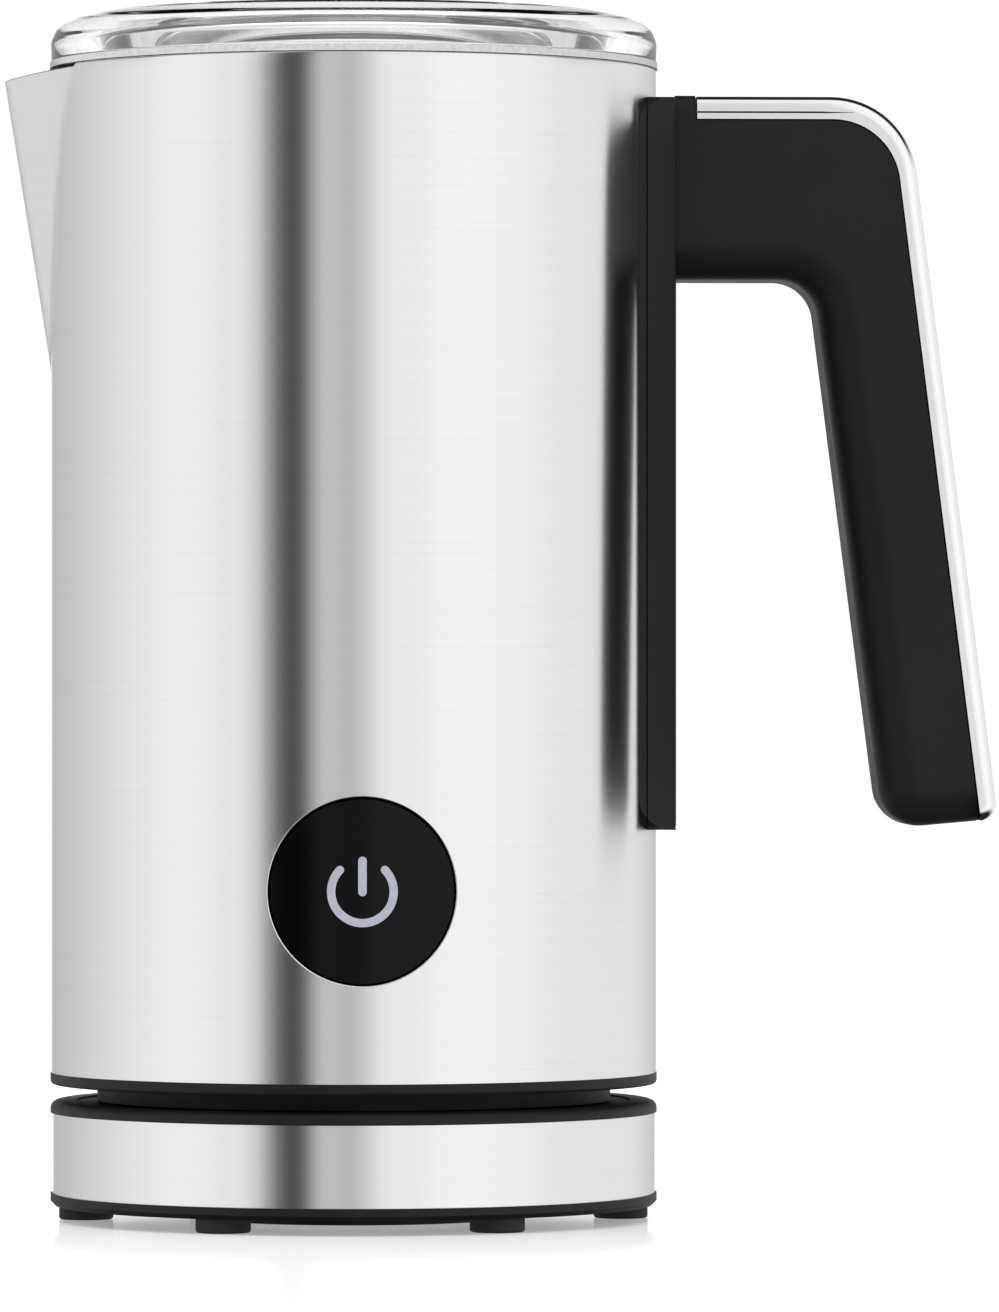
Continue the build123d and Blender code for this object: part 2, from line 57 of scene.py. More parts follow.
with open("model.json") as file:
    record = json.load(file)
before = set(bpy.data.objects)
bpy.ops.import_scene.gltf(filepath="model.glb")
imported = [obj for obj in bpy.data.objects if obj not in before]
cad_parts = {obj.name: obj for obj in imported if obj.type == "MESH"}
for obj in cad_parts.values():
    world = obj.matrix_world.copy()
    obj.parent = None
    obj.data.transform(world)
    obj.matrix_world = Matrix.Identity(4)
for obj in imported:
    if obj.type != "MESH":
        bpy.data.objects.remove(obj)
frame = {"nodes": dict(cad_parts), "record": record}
NODES = frame["nodes"]
CAD_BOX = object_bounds()
BOXES = {name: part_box(name) for name in NODES}
MM = 0.001


def top_of(node):
    """Height of a part's top."""
    return BOXES[node][1].z


def foot_of(node):
    """Height of a part's underside."""
    return BOXES[node][0].z


def reach_of(node):
    """Largest distance of a round part's edge from the jug's axis, along Y."""
    return BOXES[node][1].y


# Sizes and colours that a user may change


class FrotherSizes(bpy.types.PropertyGroup):
    """Sizes of the pieces that are meshed here."""

    sheet: FloatProperty(
        name="Sheet thickness", description="Thickness of the steel sheet", default=0.8 * MM, unit="LENGTH"
    )
    hole_edge: FloatProperty(
        name="Hole edge", description="Rounding where the shell turns in at the button", default=0.35 * MM,
        unit="LENGTH",
    )
    lip_slope: FloatProperty(
        name="Lip slope", description="How far the pouring lip falls away", default=math.radians(9.8),
        subtype="ANGLE",
    )
    spout_half_angle: FloatProperty(
        name="Spout half angle", description="Half the angle between the spout's flat sides",
        default=math.radians(56.4), subtype="ANGLE",
    )
    spout_slope: FloatProperty(
        name="Spout slope", description="How far the spout draws in for each unit down", default=0.161,
        subtype="FACTOR",
    )
    spout_tip: FloatProperty(
        name="Spout tip radius", description="Rounding of the spout's tip", default=5.0 * MM, unit="LENGTH"
    )
    wire: FloatProperty(
        name="Whisk wire", description="Radius of the whisk's wire", default=0.45 * MM, unit="LENGTH"
    )
    coil_turns: IntProperty(
        name="Coil turns", description="Turns of wire round the whisk's ring", default=44, min=8
    )
    around: IntProperty(name="Segments", description="Faces around each turned piece", default=240, min=24)


def colour(name, description, default):
    """Colour setting."""
    return FloatVectorProperty(
        name=name, description=description, default=default, size=3, min=0.0, max=1.0, subtype="COLOR"
    )


class FrotherColours(bpy.types.PropertyGroup):
    """Colours of the finishes."""

    steel: colour("Brushed steel", "Colour of the shell and the base band", (0.80, 0.80, 0.795))
    bright: colour("Bright steel", "Colour of screws, shafts and wire", (0.66, 0.66, 0.66))
    chrome: colour("Chrome", "Colour of the strip on the handle", (0.86, 0.86, 0.865))
    black: colour("Black plastic", "Colour of the handle and the rings", (0.0065, 0.0065, 0.0068))
    gloss: colour("Button black", "Colour of the push button", (0.0016, 0.0016, 0.0018))
    symbol: colour("Power symbol", "Colour of the symbol on the button", (0.33, 0.335, 0.40))
    clear: colour("Clear plastic", "Tint of the lid", (0.975, 0.98, 0.98))
    seal: colour("Seal", "Colour of the lid's seal", (0.55, 0.555, 0.56))
    coating: colour("Pot coating", "Colour of the milk pot's coating", (0.028, 0.028, 0.03))
    natural: colour("Inner plastic", "Colour of the unseen mouldings", (0.52, 0.52, 0.49))


# Node helpers


class Nodes:
    """Node tree under construction, with short calls for its nodes."""

    def __init__(self, tree):
        self.tree = tree

    def node(self, kind, **values):
        """New node with its settings."""
        made = self.tree.nodes.new(kind)
        for key, value in values.items():
            setattr(made, key, value)
        return made

    def link(self, source, target):
        self.tree.links.new(source, target)

    def calc(self, operation, first, second, use_clamp=False):
        """Result of a sum on two values, each a socket or a number."""
        made = self.node("ShaderNodeMath", operation=operation, use_clamp=use_clamp)
        for socket, value in zip(made.inputs, (first, second)):
            if isinstance(value, bpy.types.NodeSocket):
                self.link(value, socket)
            else:
                socket.default_value = value
        return made.outputs[0]

    def between(self, factor, low, high, from_low=0.3, from_high=0.7, interpolation_type="LINEAR"):
        """Number that follows another between two limits."""
        ramp = self.node("ShaderNodeMapRange", interpolation_type=interpolation_type)
        limits = {"From Min": from_low, "From Max": from_high, "To Min": low, "To Max": high}
        for socket, value in limits.items():
            ramp.inputs[socket].default_value = value
        self.link(factor, ramp.inputs["Value"])
        return ramp.outputs["Result"]


class Finish(Nodes):
    """Material under construction, around its shader."""

    def __init__(self, name):
        self.material = bpy.data.materials.new(name)
        self.material.use_nodes = True
        super().__init__(self.material.node_tree)
        self.shader = self.tree.nodes["Principled BSDF"]

    def set(self, **values):
        """Sets sockets of the shader by name, with underscores for spaces."""
        for key, value in values.items():
            self.shader.inputs[key.replace("_", " ")].default_value = value

    def place(self, stretch=(1.0, 1.0, 1.0)):
        """Position in the object, scaled along each axis."""
        where = self.node("ShaderNodeTexCoord")
        scaled = self.node("ShaderNodeMapping")
        scaled.inputs["Scale"].default_value = stretch
        self.link(where.outputs["Object"], scaled.inputs["Vector"])
        return scaled.outputs["Vector"]

    def noise(self, where, scale, detail=4.0, rough=0.6):
        """Cloudy texture from 0 to 1."""
        made = self.node("ShaderNodeTexNoise")
        made.inputs["Scale"].default_value = scale
        made.inputs["Detail"].default_value = detail
        made.inputs["Roughness"].default_value = rough
        self.link(where, made.inputs["Vector"])
        return made.outputs["Fac"]

    def shades(self, factor, first, second, low=0.35, high=0.65):
        """Colour that follows a texture between two shades."""
        ramp = self.node("ShaderNodeValToRGB")
        ramp.color_ramp.elements[0].position = low
        ramp.color_ramp.elements[1].position = high
        ramp.color_ramp.elements[0].color = (*first, 1.0)
        ramp.color_ramp.elements[1].color = (*second, 1.0)
        self.link(factor, ramp.inputs["Fac"])
        return ramp.outputs["Color"]

    def bump(self, height, strength, distance):
        """Fine relief of the surface, its distance in metres."""
        made = self.node("ShaderNodeBump")
        made.inputs["Strength"].default_value = strength
        made.inputs["Distance"].default_value = distance
        self.link(height, made.inputs["Height"])
        self.link(made.outputs["Normal"], self.shader.inputs["Normal"])

    def colour_from(self, source):
        self.link(source, self.shader.inputs["Base Color"])

    def roughness_from(self, source):
        self.link(source, self.shader.inputs["Roughness"])


def tinted(base, amount):
    """Colour made lighter or darker."""
    return tuple(max(0.0, min(1.0, channel * amount)) for channel in base)


# Finishes


def brushed_steel(colours):
    """Steel brushed round the jug: fine level streaks, highlights drawn out upward."""
    finish = Finish("brushed_steel")
    finish.set(Metallic=1.0, Anisotropic=0.82, Anisotropic_Rotation=0.25)
    streaks = finish.noise(finish.place((30.0, 30.0, 7600.0)), scale=1.0, detail=3.0, rough=0.55)
    bands = finish.noise(finish.place((9.0, 9.0, 1500.0)), scale=1.0, detail=3.0, rough=0.5)
    both = finish.calc("ADD", streaks, bands)
    dim, lit = tinted(colours.steel, 0.988), tinted(colours.steel, 1.009)
    finish.colour_from(finish.shades(both, dim, lit, low=0.7, high=1.3))
    finish.roughness_from(finish.between(both, low=0.201, high=0.208, from_low=0.7, from_high=1.3))
    finish.bump(streaks, strength=0.015, distance=0.00001)
    around = finish.node("ShaderNodeTangent", direction_type="RADIAL", axis="Z")
    finish.link(around.outputs["Tangent"], finish.shader.inputs["Tangent"])
    return finish.material


def bright_steel(colours):
    """Turned or drawn steel of screws, shafts and wire."""
    finish = Finish("bright_steel")
    finish.set(Metallic=1.0)
    marks = finish.noise(finish.place(), scale=900.0)
    finish.colour_from(finish.shades(marks, tinted(colours.bright, 0.9), tinted(colours.bright, 1.08)))
    finish.roughness_from(finish.between(marks, low=0.18, high=0.34))
    finish.bump(marks, strength=0.06, distance=0.00003)
    return finish.material


def polished_chrome(colours):
    """Polished plating with the faint waves that polishing leaves."""
    finish = Finish("polished_chrome")
    finish.set(Metallic=1.0)
    waves = finish.noise(finish.place(), scale=70.0, detail=2.0)
    haze = finish.noise(finish.place(), scale=1400.0, detail=2.0)
    finish.colour_from(finish.shades(waves, tinted(colours.chrome, 0.985), tinted(colours.chrome, 1.01)))
    finish.roughness_from(finish.between(haze, low=0.035, high=0.075))
    finish.bump(waves, strength=0.03, distance=0.0002)
    return finish.material


def satin_plastic(name, base, low=0.34, high=0.44):
    """Moulded plastic with a fine even texture and slight flow marks."""
    finish = Finish(name)
    grain = finish.noise(finish.place(), scale=5200.0, detail=2.0)
    flow = finish.noise(finish.place(), scale=38.0, detail=3.0)
    finish.colour_from(finish.shades(flow, tinted(base, 0.86), tinted(base, 1.16)))
    finish.roughness_from(finish.between(flow, low, high))
    finish.bump(grain, strength=0.10, distance=0.00003)
    finish.set(Specular_IOR_Level=0.24)
    return finish.material


def gloss_plastic(name, base, rough=0.045):
    """Polished plastic with a little unevenness."""
    finish = Finish(name)
    waves = finish.noise(finish.place(), scale=55.0, detail=2.0)
    haze = finish.noise(finish.place(), scale=2600.0, detail=2.0)
    finish.colour_from(finish.shades(waves, tinted(base, 0.9), tinted(base, 1.1)))
    finish.roughness_from(finish.between(haze, rough * 0.8, rough * 1.5))
    finish.bump(waves, strength=0.02, distance=0.0002)
    finish.set(Specular_IOR_Level=0.14)
    return finish.material


def lit_symbol(colours):
    """Frosted light-guiding plastic."""
    finish = Finish("lit_symbol")
    cloud = finish.noise(finish.place(), scale=700.0, detail=2.0)
    finish.colour_from(finish.shades(cloud, tinted(colours.symbol, 0.94), tinted(colours.symbol, 1.06)))
    finish.roughness_from(finish.between(cloud, low=0.3, high=0.42))
    finish.bump(cloud, strength=0.05, distance=0.00003)
    return finish.material


def clear_plastic(colours):
    """Clear moulded plastic with soft ripples."""
    finish = Finish("clear_plastic")
    ripples = finish.noise(finish.place(), scale=60.0, detail=2.0)
    haze = finish.noise(finish.place(), scale=900.0, detail=2.0)
    finish.set(Base_Color=(*colours.clear, 1.0), Transmission_Weight=1.0, IOR=1.5)
    finish.roughness_from(finish.between(haze, low=0.012, high=0.035))
    finish.bump(ripples, strength=0.02, distance=0.0002)
    return finish.material


def silicone(colours):
    """Grey silicone with a soft, dusty surface."""
    finish = Finish("silicone")
    dust = finish.noise(finish.place(), scale=1500.0, detail=3.0)
    finish.colour_from(finish.shades(dust, tinted(colours.seal, 0.88), tinted(colours.seal, 1.12)))
    finish.roughness_from(finish.between(dust, low=0.42, high=0.58))
    finish.bump(dust, strength=0.08, distance=0.00004)
    finish.set(Transmission_Weight=0.15, IOR=1.41)
    return finish.material


def rubber(colours):
    """Matt black rubber."""
    finish = Finish("rubber")
    grain = finish.noise(finish.place(), scale=2400.0, detail=4.0)
    finish.colour_from(finish.shades(grain, tinted(colours.black, 1.1), tinted(colours.black, 1.9)))
    finish.roughness_from(finish.between(grain, low=0.68, high=0.85))
    finish.bump(grain, strength=0.25, distance=0.00005)
    return finish.material


def pot_coating(colours):
    """Dark non-stick coating with fine pale flecks."""
    finish = Finish("pot_coating")
    flecks = finish.node("ShaderNodeTexVoronoi", feature="F1")
    flecks.inputs["Scale"].default_value = 620.0
    finish.link(finish.place(), flecks.inputs["Vector"])
    pale = tinted(colours.coating, 4.5)
    finish.colour_from(
        finish.shades(flecks.outputs["Distance"], pale, colours.coating, low=0.10, high=0.17)
    )
    orange_peel = finish.noise(finish.place(), scale=900.0, detail=2.0)
    finish.roughness_from(finish.between(orange_peel, low=0.30, high=0.42))
    finish.bump(orange_peel, strength=0.12, distance=0.00005)
    return finish.material


def brass(_colours):
    """Drawn brass with faint tarnish."""
    finish = Finish("brass")
    tarnish = finish.noise(finish.place(), scale=320.0, detail=4.0)
    finish.set(Metallic=1.0)
    finish.colour_from(finish.shades(tarnish, (0.60, 0.42, 0.17), (0.82, 0.62, 0.29)))
    finish.roughness_from(finish.between(tarnish, low=0.2, high=0.36))
    finish.bump(tarnish, strength=0.05, distance=0.00003)
    return finish.material


def circuit_board(_colours):
    """Green board with fine copper tracks under the lacquer."""
    finish = Finish("circuit_board")
    tracks = finish.node("ShaderNodeTexBrick", offset=0.5)
    tracks.inputs["Scale"].default_value = 220.0
    tracks.inputs["Mortar Size"].default_value = 0.035
    tracks.inputs["Color1"].default_value = (0.012, 0.105, 0.04, 1.0)
    tracks.inputs["Color2"].default_value = (0.014, 0.12, 0.045, 1.0)
    tracks.inputs["Mortar"].default_value = (0.05, 0.24, 0.1, 1.0)
    finish.link(finish.place(), tracks.inputs["Vector"])
    finish.colour_from(tracks.outputs["Color"])
    weave = finish.noise(finish.place(), scale=1800.0, detail=2.0)
    finish.roughness_from(finish.between(weave, low=0.22, high=0.34))
    finish.bump(tracks.outputs["Fac"], strength=0.2, distance=0.00003)
    return finish.material


FINISHES = {
    "brushed_shell": brushed_steel,
    "steel_parts": bright_steel,
    "chrome_trim": polished_chrome,
    "black_plastic": lambda colours: satin_plastic("black_plastic", colours.black, 0.46, 0.56),
    "button_black": lambda colours: gloss_plastic("button_black", colours.gloss),
    "symbol_light": lit_symbol,
    "clear_lid": clear_plastic,
    "seal_grey": silicone,
    "foot_rubber": rubber,
    "pot_coating": pot_coating,
    "brass": brass,
    "magnet": polished_chrome,
    "board_green": circuit_board,
    "component_grey": lambda colours: satin_plastic("component_grey", (0.05, 0.05, 0.055)),
    "inner_plastic": lambda colours: satin_plastic("inner_plastic", colours.natural, 0.42, 0.55),
    "lamp_white": lambda colours: gloss_plastic("lamp_white", (0.8, 0.81, 0.8), 0.12),
    "whisk_black": lambda colours: satin_plastic("whisk_black", tinted(colours.black, 1.4), 0.3, 0.4),
}


def finish_for(slot):
    """Finish of a material slot, made once."""
    made = bpy.data.materials.get("finish_" + slot)
    if made is None:
        made = FINISHES[slot](bpy.context.scene.frother_colours)
        made.name = "finish_" + slot
    return made


# Mesh helpers


def piece(name, mesh, body, slot, *nodes, sharp=40.0):
    """Puts a mesh in the scene as a smooth piece that stands for CAD nodes and rides on a body."""
    made = bpy.data.objects.new(name, mesh)
    bpy.context.scene.collection.objects.link(made)
    mesh.materials.append(finish_for(slot))
    mesh.shade_smooth()
    mesh.set_sharp_from_angle(angle=math.radians(sharp))
    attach(made, body)
    if nodes:
        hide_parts(*nodes)
    return made


def lathe(name, outline, steps):
    """Closed ring mesh from an (r, z) outline turned about the jug's axis; points at r = 0 become poles."""
    made = bmesh.new()
    rings = []
    for r, z in outline:
        if r == 0:
            rings.append([made.verts.new((0, 0, z))])
            continue
        angles = (2 * math.pi * step / steps for step in range(steps))
        rings.append([made.verts.new((r * math.cos(a), r * math.sin(a), z)) for a in angles])
    closed = outline[0][0] != 0
    pairs = list(zip(rings, rings[1:]))
    if closed:
        pairs.append((rings[-1], rings[0]))
    for low, high in pairs:
        for step in range(steps):
            after = (step + 1) % steps
            corners = [
                low[step % len(low)],
                low[after % len(low)],
                high[after % len(high)],
                high[step % len(high)],
            ]
            corners = list(dict.fromkeys(corners))
            if len(corners) > 2:
                made.faces.new(corners)
    bmesh.ops.recalc_face_normals(made, faces=made.faces)
    mesh = bpy.data.meshes.new(name)
    made.to_mesh(mesh)
    made.free()
    return mesh


def rounded(points, radii, steps=6):
    """Outline whose corners are rounded, each by its own radius."""
    made = []
    count = len(points)
    for index, radius in enumerate(radii):
        here = Vector(points[index])
        before = Vector(points[index - 1]) - here
        after = Vector(points[(index + 1) % count]) - here
        if radius == 0:
            made.append(tuple(here))
            continue
        half = before.angle(after) / 2
        back = min(radius / math.tan(half), before.length * 0.49, after.length * 0.49)
        first = here + before.normalized() * back
        last = here + after.normalized() * back
        for step in range(steps + 1):
            t = step / steps
            made.append(tuple(first * (1 - t) ** 2 + here * (2 * t * (1 - t)) + last * t**2))
    return made


# Pieces


SPOUT_BLEND = 0.22 * MM  # softness of the crease where the spout leaves the round wall
SPOUT_START = 0.1 * MM  # how far the wall stands out before its rim starts to fall
LIP_DROP = 0.5 * MM  # fall of the spout's rim right where it starts
WALL_ROWS = 90
RIM_STEPS = 6
HOLE_GAP = 0.3 * MM  # between the button and the hole round it
HOLE_STEPS = 160
BEAD_SIDES = 12
CUTTER_DEPTH = 30 * MM
GROOVE_DOWN = 2.65 * MM  # from the chrome's top to the groove
GROOVE_END = 86.0 * MM  # distance from the axis at which the groove runs out
GROOVE_WIDTH = 0.3 * MM
# sizes of the dark strip of painted shade laid in the chrome's groove
STRIP_FACE = 0.16 * MM  # from the chrome's side to the strip's face
STRIP_BACK = 0.5 * MM
STRIP_START = 0.05 * MM
STRIP_STEPS = 24
SEAL_GAP = 0.02 * MM  # between the lid's flange and its seal
COIL_TURN_POINTS = 16

# Parts of the lid's section in millimetres: distance from the axis, height, corner rounding.
# Heights are below the lid's top, or above the flange where the name says so.
LID_FACE = (
    (0, 2.75, 0), (30.6, 2.75, 2.2), (34.3, 0.05, 1.4), (42.0, 0.12, 9.0), (48.0, 0.75, 9.0), (51.6, 2.5, 5.0)
)
LID_OVER_FLANGE = (
    (50.7, 0, 0.3), (50.7, 3.2, 1.8), (49.4, 5.0, 2.0), (46.6, 6.0, 2.0), (44.4, 6.1, 0.8), (43.1, 0, 0.2),
    (42.6, 0, 0.2),
)
LID_RIM = (0.02, 5.1, 3.0)  # in from the lid's edge, below its top, rounding
LID_RIM_FOOT = (0.15, 0.35)  # in from the lid's edge, rounding, at the flange
LID_SKIRT = ((42.4, 0.4), (40.8, 0.4))  # distance from the axis and rounding, at the skirt's foot
LID_UNDERSIDE = ((41.2, 2.2, 1.2), (36.4, 2.1, 1.0), (34.2, 4.95, 1.4), (0, 4.95, 0))


def spout_radius(angle, height, sizes, inset):
    """Distance from the axis to the jug's wall, spout included, at an angle from the spout's middle."""
    radius = reach_of("jug_shell") - inset
    tip_at_top = -BOXES["jug_shell"][0].x
    shell_top = top_of("jug_shell")
    half = sizes.spout_half_angle
    nose = sizes.spout_tip - inset
    normal = math.pi / 2 - half
    centre = tip_at_top - sizes.spout_tip - sizes.spout_slope * (shell_top - height)
    flat = centre * math.cos(normal) + nose
    touch = math.atan2(nose * math.sin(normal), centre + nose * math.cos(normal))
    if angle < touch:
        wedge = centre * math.cos(angle) + math.sqrt(nose**2 - (centre * math.sin(angle)) ** 2)
    else:
        wedge = flat / math.cos(max(0.0, normal - angle))
    blend = math.sqrt((radius - wedge) ** 2 + SPOUT_BLEND**2)
    return (radius + wedge + blend) / 2 - SPOUT_BLEND**2 / (4 * radius)


def shell_mesh(sizes):
    """Jug wall as a fine grid: outer face, rolled rim and inner face, without the button's hole."""
    low = foot_of("jug_shell")
    high = top_of("jug_shell")
    half_sheet = sizes.sheet / 2
    steps = sizes.around * 2
    made = bmesh.new()
    grid = []
    for step in range(steps):
        turn = 2 * math.pi * step / steps
        from_spout = abs(math.pi - turn)
        reach = spout_radius(from_spout, high, sizes, 0.0) - reach_of("jug_shell")
        fall = LIP_DROP + reach * math.tan(sizes.lip_slope) if reach > SPOUT_START else 0.0
        edge = high - fall
        column = []
        heights = [low + (edge - half_sheet - low) * row / WALL_ROWS for row in range(WALL_ROWS + 1)]
        for height in heights:
            column.append((spout_radius(from_spout, height, sizes, 0.0), height))
        middle = spout_radius(from_spout, edge, sizes, 0.0) - half_sheet
        for row in range(1, RIM_STEPS):
            tilt = math.pi * row / RIM_STEPS
            column.append((middle + math.cos(tilt) * half_sheet, edge + (math.sin(tilt) - 1) * half_sheet))
        for height in reversed(heights):
            column.append((spout_radius(from_spout, height, sizes, sizes.sheet), height))
        grid.append([made.verts.new((r * math.cos(turn), r * math.sin(turn), z)) for r, z in column])
    for step in range(steps):
        here, after = grid[step], grid[(step + 1) % steps]
        for row in range(len(here)):
            above = (row + 1) % len(here)
            made.faces.new([here[row], after[row], after[above], here[above]])
    bmesh.ops.recalc_face_normals(made, faces=made.faces)
    mesh = bpy.data.meshes.new("jug_wall")
    made.to_mesh(mesh)
    made.free()
    return mesh


def button_place():
    """Height of the button's middle and the radius of the hole round it."""
    low, high = BOXES["button_cap"]
    return (low.z + high.z) / 2, (high.z - low.z) / 2 + HOLE_GAP


def cut_round_hole(target, radius, height):
    """Cuts a level round hole through the front of a mesh."""
    cutter_mesh = bpy.data.meshes.new("hole_cutter")
    made = bmesh.new()
    bmesh.ops.create_cone(
        made, cap_ends=True, segments=HOLE_STEPS, radius1=radius, radius2=radius, depth=CUTTER_DEPTH
    )
    made.to_mesh(cutter_mesh)
    made.free()
    cutter = bpy.data.objects.new("hole_cutter", cutter_mesh)
    bpy.context.scene.collection.objects.link(cutter)
    cutter.rotation_euler = (math.pi / 2, 0, 0)
    cutter.location = (0, -reach_of("jug_shell"), height)
    cut = target.modifiers.new("button_hole", "BOOLEAN")
    cut.object = cutter
    cut.solver = "EXACT"
    bpy.context.view_layer.update()
    solved = bpy.data.meshes.new_from_object(target.evaluated_get(bpy.context.evaluated_depsgraph_get()))
    target.modifiers.remove(cut)
    target.data = solved
    bpy.data.objects.remove(cutter)


def hole_bead_mesh(sizes, radius, height):
    """Rounded edge of the button's hole, following the wall."""
    wall = reach_of("jug_shell")
    edge = sizes.hole_edge
    made = bmesh.new()
    rings = []
    for step in range(HOLE_STEPS):
        turn = 2 * math.pi * step / HOLE_STEPS
        ring = []
        for side in range(BEAD_SIDES):
            tilt = 2 * math.pi * side / BEAD_SIDES
            out = radius + edge + math.cos(tilt) * edge
            x, z = out * math.cos(turn), height + out * math.sin(turn)
            depth = wall - edge + math.sin(tilt) * edge
            ring.append(made.verts.new((x, -math.sqrt(depth**2 - x**2), z)))
        rings.append(ring)
    for step in range(HOLE_STEPS):
        here, after = rings[step], rings[(step + 1) % HOLE_STEPS]
        for side in range(BEAD_SIDES):
            beside = (side + 1) % BEAD_SIDES
            made.faces.new([here[side], after[side], after[beside], here[beside]])
    bmesh.ops.recalc_face_normals(made, faces=made.faces)
    mesh = bpy.data.meshes.new("button_hole_edge")
    made.to_mesh(mesh)
    made.free()
    return mesh


def lid_outline():
    """Section of the clear lid, from the sunk centre over the ridge to the flange and back inside."""
    edge = BOXES["lid_cover"][1].x / MM
    top = top_of("lid_cover") / MM
    flange = (top_of("lid_seal") + SEAL_GAP) / MM
    skirt = foot_of("lid_cover") / MM
    section = [(r, top - down, corner) for r, down, corner in LID_FACE]
    inset, down, corner = LID_RIM
    section.append((edge - inset, top - down, corner))
    inset, corner = LID_RIM_FOOT
    section.append((edge - inset, flange, corner))
    section += [(r, flange + up, corner) for r, up, corner in LID_OVER_FLANGE]
    section += [(r, skirt, corner) for r, corner in LID_SKIRT]
    section += [(r, top - down, corner) for r, down, corner in LID_UNDERSIDE]
    points = [(r * MM, z * MM) for r, z, _ in section]
    return rounded(points, [corner * MM for _, _, corner in section], steps=8)


def coil_mesh(sizes):
    """Ring of coiled wire round the whisk's hub."""
    low, high = BOXES["whisk_coil"]
    tube = (high.z - low.z) / 2
    ring = high.x - tube
    middle = (high.z + low.z) / 2
    loop = tube - sizes.wire
    curve = bpy.data.curves.new("whisk_wire", "CURVE")
    curve.dimensions = "3D"
    curve.bevel_depth = sizes.wire
    curve.bevel_resolution = 3
    count = sizes.coil_turns * COIL_TURN_POINTS
    line = curve.splines.new("POLY")
    line.points.add(count - 1)
    line.use_cyclic_u = True
    for index, point in enumerate(line.points):
        turn = 2 * math.pi * index / count
        wind = turn * sizes.coil_turns
        r = ring + loop * math.cos(wind)
        point.co = (r * math.cos(turn), r * math.sin(turn), middle + loop * math.sin(wind), 1.0)
    holder = bpy.data.objects.new("whisk_wire", curve)
    bpy.context.scene.collection.objects.link(holder)
    bpy.context.view_layer.update()
    mesh = bpy.data.meshes.new_from_object(holder.evaluated_get(bpy.context.evaluated_depsgraph_get()))
    bpy.data.objects.remove(holder)
    mesh.materials.clear()
    return mesh


def painted_groove_shade_mesh(side):
    """Thin dark strip of painted shade that lies in the groove on one side of the arm's chrome, where the
    groove's shadow falls.
    """
    low, high = BOXES["handle_trim"]
    start = low.x + STRIP_START
    middle = high.z - GROOVE_DOWN - GROOVE_WIDTH / 2
    face = side * (high.y - STRIP_FACE)
    back = side * (high.y - STRIP_BACK)
    made = bmesh.new()
    rings = []
    for step in range(STRIP_STEPS + 1):
        share = step / STRIP_STEPS
        along = start + (GROOVE_END - start) * share
        taper = min(1.0, 4.0 * (1 - share) + 0.05)
        over, under = middle + GROOVE_WIDTH / 2 * taper, middle - GROOVE_WIDTH / 2 * taper
        ring = [(face, over), (face, under), (back, under), (back, over)]
        rings.append([made.verts.new((along, y, z)) for y, z in ring])
    for here, after in zip(rings, rings[1:]):
        for corner in range(4):
            beside = (corner + 1) % 4
            made.faces.new([here[corner], after[corner], after[beside], here[beside]])
    made.faces.new(rings[0])
    made.faces.new(rings[-1])
    bmesh.ops.recalc_face_normals(made, faces=made.faces)
    mesh = bpy.data.meshes.new("painted_groove_shade")
    made.to_mesh(mesh)
    made.free()
    return mesh


# Build steps


class FROTHER_OT_finishes(bpy.types.Operator):
    """Give every CAD node the finish of its slot"""

    bl_idname = "frother.finishes"
    bl_label = "Finish the Parts"

    def execute(self, context):
        slots = {part["node"]: part["material_slot"] for part in frame["record"]["subparts"]}
        for name, node in NODES.items():
            node.data.materials.clear()
            node.data.materials.append(finish_for(slots[name]))
        return {"FINISHED"}


class FROTHER_OT_shell(bpy.types.Operator):
    """Build the jug's steel wall with its spout and the rounded hole for the button"""

    bl_idname = "frother.shell"
    bl_label = "Build the Shell"

    def execute(self, context):
        sizes = context.scene.frother_sizes
        height, radius = button_place()
        wall = piece("jug_wall", shell_mesh(sizes), "jug", "brushed_shell", "jug_shell")
        cut_round_hole(wall, radius + sizes.hole_edge, height)
        if len(wall.data.polygons) == 0:
            raise RuntimeError("the button's hole could not be cut")
        wall.data.set_sharp_from_angle(angle=math.radians(40))
        piece("button_hole_edge", hole_bead_mesh(sizes, radius, height), "jug", "brushed_shell", sharp=180)
        return {"FINISHED"}


class FROTHER_OT_painted_groove_shades(bpy.types.Operator):
    """Lay dark strips of painted shade in the grooves of the arm's chrome"""

    bl_idname = "frother.inlays"
    bl_label = "Lay the Groove Strips"

    def execute(self, context):
        # dark strips of painted shade in the black plastic finish, laid in both grooves where their shadow
        # falls
        for name, side in (("painted_groove_shade_front", -1), ("painted_groove_shade_back", 1)):
            piece(name, painted_groove_shade_mesh(side), "jug", "black_plastic")
        return {"FINISHED"}


class FROTHER_OT_lid(bpy.types.Operator):
    """Build the clear lid as one smooth turned piece"""

    bl_idname = "frother.lid"
    bl_label = "Build the Lid"

    def execute(self, context):
        around = context.scene.frother_sizes.around
        piece("clear_lid", lathe("clear_lid", lid_outline(), around), "lid", "clear_lid", "lid_cover")
        return {"FINISHED"}


class FROTHER_OT_whisk(bpy.types.Operator):
    """Build the whisk's ring of coiled wire"""

    bl_idname = "frother.whisk"
    bl_label = "Build the Whisk Coil"

    def execute(self, context):
        sizes = context.scene.frother_sizes
        piece("wire_coil", coil_mesh(sizes), "whisk", "steel_parts", "whisk_coil", sharp=180)
        return {"FINISHED"}


# Stage


